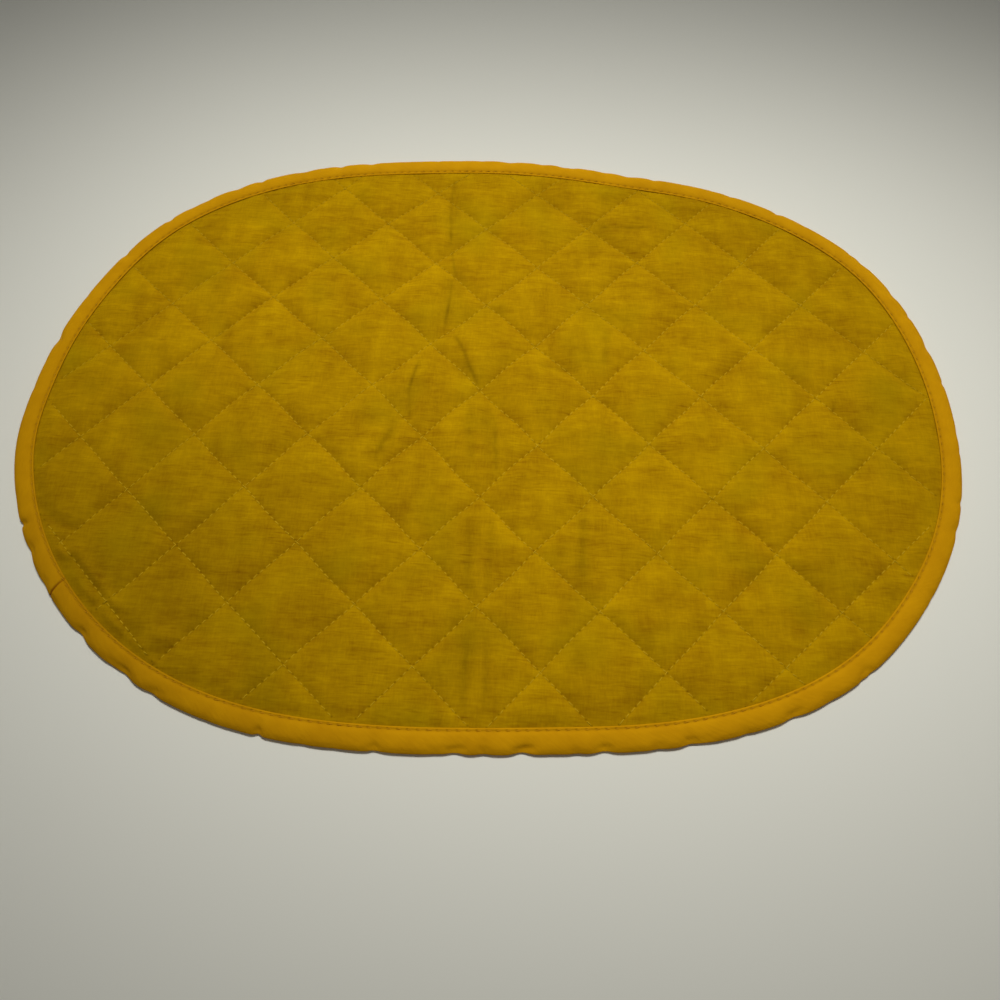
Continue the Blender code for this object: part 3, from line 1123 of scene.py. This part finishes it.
@dataclass
class QuiltedPanel:
    """The quilted cloth, as one closed surface on a lattice that follows its quilting lines."""

    quilting: Quilting
    finish: SlubCotton
    cells_between_lines: int = 24
    crowding: float = 0.09
    reach_beyond: float = 0.45
    rounds: int = 6
    rim_inset: float = 4.6 * MM
    tongue_inset: float = 3.9 * MM
    area_steps: int = 720

    def lattice(self, family: SeamFamily) -> Array:
        """List the lattice places of one family, closer together beside the lines.

        With t in equal steps, the share of the way between two lines is t - crowding * sin(2 pi t).

        Args:
            family: the quilting lines.

        Returns:
            The places, rising.
        """
        cells, reach = self.cells_between_lines, self.reach_beyond
        steps = np.arange(-reach, len(family.rows) - 1 + reach, 1.0 / cells)
        steps = np.round(steps * cells) / cells
        return steps - self.crowding * np.sin(TURN * steps)

    def plan(self) -> Array:
        """Work out where the lattice lines cross, in plan.

        A crossing solves two straight lines, each moved by its stray at the last guess, in a few rounds.

        Returns:
            The x and y of the crossings, a grid each.
        """
        falling, rising = self.quilting.families.values()
        across, along = np.meshgrid(self.lattice(falling), self.lattice(rising), indexing="ij")
        plan = np.zeros((2, *across.shape))
        for _ in range(self.rounds):
            fall, fall_offset = falling.lattice_line(across, *plan)
            rise, rise_offset = rising.lattice_line(along, *plan)
            x = fall_offset * np.cos(rise) - rise_offset * np.cos(fall)
            y = fall_offset * np.sin(rise) - rise_offset * np.sin(fall)
            plan = np.stack([x, y]) / np.sin(rise - fall)
        return plan

    def build(self) -> Piece:
        """Make the piece: the cells inside the rim, once for the face and once for the back, and a wall.

        Returns:
            The quilted cloth.
        """
        x, y = self.plan()
        inside = self.quilting.outline.depth_inside(x, y) > self.rim_inset
        row, column = np.nonzero(inside[:-1, :-1] & inside[1:, :-1] & inside[1:, 1:] & inside[:-1, 1:])
        numbers = np.arange(x.size).reshape(x.shape)
        quads = np.stack([numbers[row + i, column + j] for i, j in ((0, 0), (1, 0), (1, 1), (0, 1))], axis=-1)
        used, packed = np.unique(quads, return_inverse=True)
        quads = packed.reshape(quads.shape)
        x, y = x.ravel()[used], y.ravel()[used]
        points = np.concatenate([np.column_stack([x, y, self.quilting.height(side, x, y)]) for side in Side])
        # Each edge that only one cell has is on the rim, and gets a wall face.
        edges = np.concatenate([quads[:, [side, (side + 1) % 4]] for side in range(4)])
        keys = edges.min(axis=1) * len(used) + edges.max(axis=1)
        _, first, count = np.unique(keys, return_index=True, return_counts=True)
        start, end = edges[first[count == 1]].T
        wall = np.stack([end, start, start + len(used), end + len(used)], axis=-1)
        floats = {}
        for label, family in self.quilting.families.items():
            near = family.near(x, y)
            floats |= {f"{label}_gap": np.tile(near.gap, 2), f"{label}_run": np.tile(near.run, 2)}
        faces = [quads, quads[:, ::-1] + len(used), wall]
        return make_piece("quilted_cloth", points, faces, self.finish.material("slub_cotton"), floats)

    def flat_size(self) -> tuple[float, float]:
        """The oval that the panel was cut to: the outline less the tongue's inset all round."""
        outline, inset = self.quilting.outline, self.tongue_inset
        return 2.0 * (outline.half_length - inset), 2.0 * (outline.half_width - inset)

    def flat_area(self) -> float:
        """Work out the oval's area in square metres: half the sum of x * next y - y * next x round it.

        Returns:
            The area.
        """
        angle = np.linspace(0.0, TURN, self.area_steps, endpoint=False)
        x, y = self.quilting.outline.edge_points(angle, np.full_like(angle, self.tongue_inset)).T
        return float(np.sum(x * np.roll(y, -1) - y * np.roll(x, -1)) / 2.0)


@dataclass
class EdgeBinding:
    """The folded strip round the edge: one closed section carried round the outline."""

    outline: Outline
    finish: BindingCotton
    stations: int = 1180
    section_points: int = 66
    fine_steps: int = 20000
    line_steps: int = 6000

    dent_reach: float = 1.15 * MM
    dent_drop: float = 1.4 * MM
    dent_from: float = 0.6 * MM
    dent_count: int = 82
    dent_jitter: float = 0.48
    dent_mildness: float = 1.1
    dent_widths: tuple[float, float] = (1.5 * MM, 4.2 * MM)
    dent_slants: tuple[float, float] = (-0.3, 1.1)
    dent_fill: float = 0.24
    dent_seed: int = 12
    least_slack: float = 0.6
    slack: Bulge = Bulge(-125.0, 0.55, 75.0)
    narrowing: float = 0.07
    tightness: Bulge = Bulge(-150.0, 0.09, 27.0)

    join_at: float = JOIN_DEG * DEG
    join_lean: float = 16.0 * DEG
    join_swelling: Bulge = Bulge(JOIN_DEG, 0.4 * MM, 1.2)
    join_crowding: Bulge = Bulge(JOIN_DEG, 5.0, 1.5)
    join_groove: float = 0.6 * MM
    join_groove_width: float = 0.5 * MM
    join_rim_share: float = 0.35
    join_notch: float = 0.5
    join_faintness: float = 0.45

    groove_top: float = 2.4 * MM
    lip_height: float = 0.9 * MM

    def section(self) -> Array:
        """Round the section's corners off: a closed Catmull-Rom curve through them.

        Returns:
            The insets, the heights and the pucker shares of the section's points, a row each.
        """
        corners = np.array(BINDING_SECTION) * (MM, MM, 1.0)
        place = np.linspace(0.0, len(corners), self.section_points, endpoint=False)
        index = np.floor(place).astype(int)
        t = (place - index)[:, None]
        before, here, ahead, beyond = (corners[(index + step) % len(corners)] for step in (-1, 0, 1, 2))
        bend = 2.0 * before - 5.0 * here + 4.0 * ahead - beyond
        twist = -before + 3.0 * here - 3.0 * ahead + beyond
        curve = 0.5 * (2.0 * here + (ahead - before) * t + bend * t**2 + twist * t**3)
        return np.clip(curve, (-np.inf, 0.0, 0.0), (np.inf, np.inf, 1.0)).T

    def station_angles(self) -> Array:
        """Space the stations round the edge, closer together at the join.

        Returns:
            Polar angles, once round.
        """
        fine = np.linspace(0.0, TURN, self.fine_steps, endpoint=False)
        total = np.concatenate([[0.0], np.cumsum(1.0 + self.join_crowding.at(fine))])
        wanted = np.linspace(0.0, total[-1], self.stations, endpoint=False)
        return np.interp(wanted, total, np.append(fine, TURN))

    def pucker(self, angle: Array, inset: Array) -> Array:
        """Work out the puckers, from about -1 in the deepest dent to dent_fill between them.

        The dents are bell curves of the distance along the edge, at uneven distances, each as deep, as
        wide and as slanting as chance has it, and deeper where the strip is slack.  A slanting one
        widens inwards, by half its slant squared.

        Args:
            angle: polar angles.
            inset: distances inside the edge.

        Returns:
            The pucker at each place.
        """
        random = np.random.default_rng(self.dent_seed)
        jitter = random.uniform(-self.dent_jitter, self.dent_jitter, self.dent_count)
        places = (np.arange(self.dent_count) + jitter) * TURN / self.dent_count
        depths = random.uniform(0.0, 1.0, self.dent_count) ** self.dent_mildness
        widths = random.uniform(*self.dent_widths, self.dent_count)
        slants = random.uniform(*self.dent_slants, self.dent_count)
        depths = depths * (self.least_slack + self.slack.at(places))
        radius = self.outline.radius(angle)
        valley = np.zeros_like(angle)
        for place, depth, width, slant in zip(places, depths, widths, slants):
            beside = turned(angle, place) * radius - slant * inset
            valley += depth * bell(beside, width + slant * slant * inset / 2.0)
        return self.dent_fill - valley

    def narrowed(self, angle: Array) -> Array:
        """Work out the strip's width as a share: less at the ends, and least where it was pulled tight."""
        return 1.0 - self.narrowing * np.cos(angle) ** 2 - self.tightness.at(angle)

    def slit(self, angle: Array) -> Array:
        """Mark the join: a bell curve of the distance along the edge."""
        return bell(turned(angle, self.join_at) * self.outline.radius(angle), self.join_groove_width)

    def shape(self, angle: Array, inset: Array, height: Array, share: Array) -> Array:
        """Carry section points round the edge.

        Puckers push them out and lift them by their share, and the join is a swelling with a narrow
        groove where one end of the strip lies on the other.

        Args:
            angle: polar angles.
            inset: distances inside the edge.
            height: heights above the table.
            share: the share of the puckers that each takes.

        Returns:
            The points, as a last axis of x, y and z.
        """
        inset = inset * self.narrowed(angle)
        # The lines across the strip lean, so that the join lies along one of them.
        leaning = angle - math.tan(self.join_lean) * inset / self.outline.radius(angle)
        wave = self.pucker(angle, inset) * share
        upper = np.where(height > self.groove_top, 1.0, 0.0)
        cut = self.slit(angle) * self.join_groove
        over = ramp(height, self.dent_from, self.groove_top - self.dent_from)
        lift = over * share * self.dent_drop * np.maximum(wave, -1.0)
        lift = lift + upper * share * self.join_swelling.at(angle)
        lift = lift - upper * cut * np.clip(share + self.join_rim_share, 0.0, 1.0)
        inset = inset - self.dent_reach * wave + self.join_notch * cut * share
        plan = self.outline.edge_points(leaning, inset)
        return np.concatenate([plan, (height + lift)[..., None]], axis=-1)

    def build(self) -> Piece:
        """Make the piece: the section at each station, joined to the next one all the way round.

        Returns:
            The binding.
        """
        section, stations = self.section(), self.station_angles()
        shape = (len(stations), section.shape[1])
        angles = np.broadcast_to(stations[:, None], shape)
        insets, heights, shares = (np.broadcast_to(row, shape) for row in section)
        points = self.shape(angles, insets, heights, shares).reshape(-1, 3)
        numbers = np.arange(len(points)).reshape(shape)
        ahead = np.roll(numbers, -1, axis=0)
        corners = [np.roll(numbers, 1, axis=1), np.roll(ahead, 1, axis=1), ahead, numbers]
        quads = np.stack(corners, axis=-1).reshape(-1, 4)
        # The join's mark, a dark joint with painted shade in its slit, is darkest towards the rim.
        darkness = self.join_faintness + (1.0 - self.join_faintness) * shares
        floats = {"join": self.slit(angles) * np.where(heights > self.lip_height, darkness, 0.0)}
        piece = make_piece("binding_cloth", points, [quads], self.finish.material("binding_cotton"), floats)
        self.lay_strip(piece, stations, section[0], quads)
        return piece

    def stitch_line(self, inset: float) -> tuple[Array, Array]:
        """Measure the stitched line round the edge.

        Args:
            inset: its distance inside the edge.

        Returns:
            Polar angles once round, and the distance along the line at each.
        """
        angle = np.linspace(0.0, TURN, self.line_steps)
        points = self.outline.edge_points(angle, inset * self.narrowed(angle))
        steps = np.hypot(*np.diff(points, axis=0).T)
        return angle, np.concatenate([[0.0], np.cumsum(steps)])

    def lay_strip(self, piece: Piece, stations: Array, inset: Array, quads: Array) -> None:
        """Give the piece a UV map of the distance along the stitched line and of the inset, in metres.

        Args:
            piece: the binding.
            stations: the polar angle of each station.
            inset: the inset of each place in the section.
            quads: its faces.
        """
        around, run = self.stitch_line(self.finish.hole_inset)
        scale = round(run[-1] / self.finish.hole_pitch) * self.finish.hole_pitch / run[-1]
        station_run = np.append(np.interp(stations, around, run), run[-1]) * scale
        station, place = np.divmod(quads, len(inset))
        last = (station[:, :1] == len(stations) - 1) & (station == 0)
        uv = np.stack([station_run[np.where(last, len(stations), station)], inset[place]], axis=-1)
        piece.data.uv_layers.new(name="strip").data.foreach_set("uv", uv.astype(np.float32).ravel())

    def stitches(self, height: float) -> tuple[Array, Array]:
        """Find the middle of every stitch that holds the binding, and its heading.

        Args:
            height: the height of the pinched line that they lie in.

        Returns:
            The middles, one a row, and the polar angle of each one's line.
        """
        inset = self.finish.hole_inset
        around, run = self.stitch_line(inset)
        count = round(run[-1] / self.finish.hole_pitch)
        angle = np.interp((np.arange(count) + 0.5) * run[-1] / count, run, around)
        plan = self.outline.edge_points(angle, inset * self.narrowed(angle))
        facing = self.outline.outward(angle)
        return np.column_stack([plan, np.full(count, height)]), np.arctan2(facing[:, 0], -facing[:, 1])


@dataclass
class Sewing:
    """Rows of stitches, joined as one mesh: short threads that dive into a needle hole at each end."""

    name: str
    side: Side
    finish: ThreadFinish
    length: float
    seed: int
    width: float = 0.42 * MM
    thickness: float = 0.32 * MM
    crest: float = 0.12 * MM
    dip: float = 0.22 * MM
    yaw: float = 6.0 * DEG
    yaw_spread: float = 0.4
    sides: int = 6
    rings: tuple[float, ...] = (0.05, 0.3, 0.7, 0.95)
    uneven: float = 0.22
    sunk: float = 0.05 * MM

    def build(self, centres: Array, headings: Array) -> Piece:
        """Make all the stitches at once.

        One stitch is a tube of a few rings between two end points.  Its height follows
        crest - (crest + dip) * (2 t - 1) ** 2, and its thickness sqrt(1 - (2 t - 1) ** 4).

        Args:
            centres: the middle of each stitch on the cloth, one a row.
            headings: the polar angle of each one's line.

        Returns:
            The piece.
        """
        random = np.random.default_rng(self.seed)
        count, rings = len(centres), len(self.rings)
        heading = headings + self.yaw * (1.0 + self.yaw_spread * random.standard_normal(count))
        size = 1.0 + self.uneven * random.uniform(-1.0, 1.0, count)
        sunk = self.sunk * random.standard_normal(count)
        along, beside = (
            np.insert(polar(heading + turn), 2, 0.0, axis=1)[:, None] for turn in (0.0, TURN / 4.0)
        )
        up = np.array([0.0, 0.0, self.side.value])
        place = 2.0 * np.array([0.0, *self.rings, 1.0]) - 1.0
        thick = np.sqrt(np.clip(1.0 - place**4, 0.0, 1.0))
        lift = self.crest - (self.crest + self.dip) * place**2
        forward = place * self.length / 2.0 * size[:, None]
        middle = centres[:, None] + along * forward[..., None] + up * (lift - sunk[:, None])[..., None]
        turn = (np.arange(self.sides) * TURN / self.sides)[:, None]
        ring = beside * np.cos(turn) * self.width / 2.0 + up * np.sin(turn) * self.thickness / 2.0
        body = middle[:, 1:-1, None] + ring[:, None] * thick[1:-1, None, None]
        points = np.concatenate([body.reshape(count, -1, 3), middle[:, :1], middle[:, -1:]], axis=1)
        number = np.arange(rings * self.sides).reshape(rings, self.sides)
        after = np.roll(number, -1, axis=1)
        walls = np.stack([number[:-1], number[1:], after[1:], after[:-1]], axis=-1).reshape(-1, 4)
        start = np.full(self.sides, rings * self.sides)
        first = np.stack([start, number[0], after[0]], axis=-1)
        caps = np.concatenate([first, np.stack([start + 1, after[-1], number[-1]], axis=-1)])
        if self.side is Side.FACE:
            walls, caps = walls[:, ::-1], caps[:, ::-1]
        shift = (np.arange(count) * points.shape[1])[:, None, None]
        faces = [(table + shift).reshape(-1, table.shape[1]) for table in (walls, caps)]
        return make_piece(self.name, points.reshape(-1, 3), faces, self.finish.material(self.name))


@dataclass
class Placemat:
    """The whole mat: quilted panel, binding and sewing."""

    stitch_length: float = 3.0 * MM
    topstitch_length: float = 3.3 * MM
    topstitch_height: float = 2.7 * MM
    topstitch_back_height: float = 0.2 * MM
    strip_width: float = 24.5 * MM

    def build(self) -> None:
        """Make the pieces in order, hide the solids, and attach each piece to the mat's root body."""
        outline = Outline()
        quilting = Quilting(outline)
        panel = QuiltedPanel(quilting, SlubCotton())
        binding = EdgeBinding(outline, BindingCotton())
        panel_piece = panel.build()
        binding_piece = binding.build()
        pitch = panel.finish.hole_pitch
        quilting_sewing = [
            Sewing(name, side, QUILTING_THREAD, self.stitch_length, seed).build(
                *quilting.stitches(side, pitch)
            )
            for name, side, seed in (
                ("quilting_thread_face", Side.FACE, 1),
                ("quilting_thread_back", Side.BACK, 2),
            )
        ]
        binding_sewing = [
            Sewing(name, side, BINDING_THREAD, self.topstitch_length, seed).build(*binding.stitches(height))
            for name, side, height, seed in (
                ("binding_thread_face", Side.FACE, self.topstitch_height, 3),
                ("binding_thread_back", Side.BACK, self.topstitch_back_height, 4),
            )
        ]
        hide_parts("quilted_panel")
        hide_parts("edge_binding")
        for piece in (panel_piece, binding_piece, *quilting_sewing, *binding_sewing):
            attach(piece, "root")
        size, area = panel.flat_size(), panel.flat_area()
        _, run = binding.stitch_line(0.0)
        size = (self.strip_width, float(run[-1]))


# ---------------------------------------------------------------- the studio


@dataclass(frozen=True)
class Studio:
    """The camera at the photograph's angle, a plain pale floor, and one soft lamp behind a grid."""

    target: tuple[float, float, float] = (7.6 * MM, -49.1 * MM, 1.8 * MM)
    distance: float = 400.4 * MM
    elevation: float = 64.35 * DEG
    roll: float = 0.421 * DEG
    turn: float = 2.008 * DEG
    lens_mm: float = 31.0
    sensor_mm: float = 36.0

    floor_half: float = 4.0
    floor_height: float = -0.2 * MM
    floor_colour: Colour = (0.80, 0.795, 0.705)
    sky_strength: float = 0.13
    lamp_aim: tuple[float, float, float] = (0.0336, -0.001, 0.0)
    lamp_elevation: float = 62.0 * DEG
    lamp_bearing: float = 3.4 * DEG
    lamp_distance: float = 1.2
    lamp_size: tuple[float, float] = (0.75, 0.363)
    lamp_spread: float = 34.2 * DEG
    lamp_watts: float = 0.9
    light_colour: Colour = (1.0, 0.99, 0.97)

    def add_camera(self) -> None:
        """Put up the camera, looking at the target from the near side with the photograph's roll."""
        data = bpy.data.cameras.new("camera")
        data.lens = self.lens_mm
        data.sensor_width = self.sensor_mm
        data.clip_start = 0.01
        camera = bpy.data.objects.new("camera", data)
        facing = Matrix.Rotation(self.turn, 4, "Z") @ Matrix.Rotation(TURN / 4.0 - self.elevation, 4, "X")
        back = Matrix.Translation((0.0, 0.0, self.distance)) @ Matrix.Rotation(self.roll, 4, "Z")
        camera.matrix_world = Matrix.Translation(self.target) @ facing @ back
        bpy.context.scene.collection.objects.link(camera)
        bpy.context.scene.camera = camera

    def add_floor(self) -> None:
        """Lay the floor just under the mat, as no part of the object."""
        corners = np.array([(-1.0, -1.0), (1.0, -1.0), (1.0, 1.0), (-1.0, 1.0)]) * self.floor_half
        points = np.column_stack([corners, np.full(4, self.floor_height)])
        sockets = {"Base Color": (*self.floor_colour, 1.0), "Roughness": 0.9, "Specular IOR Level": 0.1}
        make_piece("floor", points, [np.arange(4)[None]], Shader("pale_floor").finish(sockets))

    def add_light(self) -> None:
        """Put up the soft lamp and the pale sky."""
        data = bpy.data.lights.new("window", "AREA")
        data.shape = "ELLIPSE"
        data.size, data.size_y = self.lamp_size
        data.spread = self.lamp_spread
        data.energy = self.lamp_watts
        data.color = self.light_colour
        lamp = bpy.data.objects.new("window", data)
        flat = Vector((math.sin(self.lamp_bearing), math.cos(self.lamp_bearing), 0.0))
        away = math.cos(self.lamp_elevation) * flat + Vector((0.0, 0.0, math.sin(self.lamp_elevation)))
        turn = away.to_track_quat("Z", "Y").to_matrix().to_4x4()
        lamp.matrix_world = Matrix.Translation(Vector(self.lamp_aim) + self.lamp_distance * away) @ turn
        lamp.visible_camera = False
        bpy.context.scene.collection.objects.link(lamp)
        world = bpy.data.worlds.new("sky")
        world.use_nodes = True
        sky = world.node_tree.nodes["Background"]
        sky.inputs[0].default_value = (*self.light_colour, 1.0)
        sky.inputs[1].default_value = self.sky_strength
        bpy.context.scene.world = world

    def build(self) -> None:
        """Set up everything that isn't the mat."""
        self.add_camera()
        self.add_floor()
        self.add_light()
        bpy.context.scene.view_settings.view_transform = "Standard"
        bpy.context.scene.view_settings.look = "None"


# ---------------------------------------------------------------- putting it together


def main() -> None:
    """Build the mat and the studio."""
    logging.basicConfig(level=logging.INFO, format="%(name)s: %(message)s")
    Placemat().build()
    Studio().build()


if __name__ == "__main__":
    main()
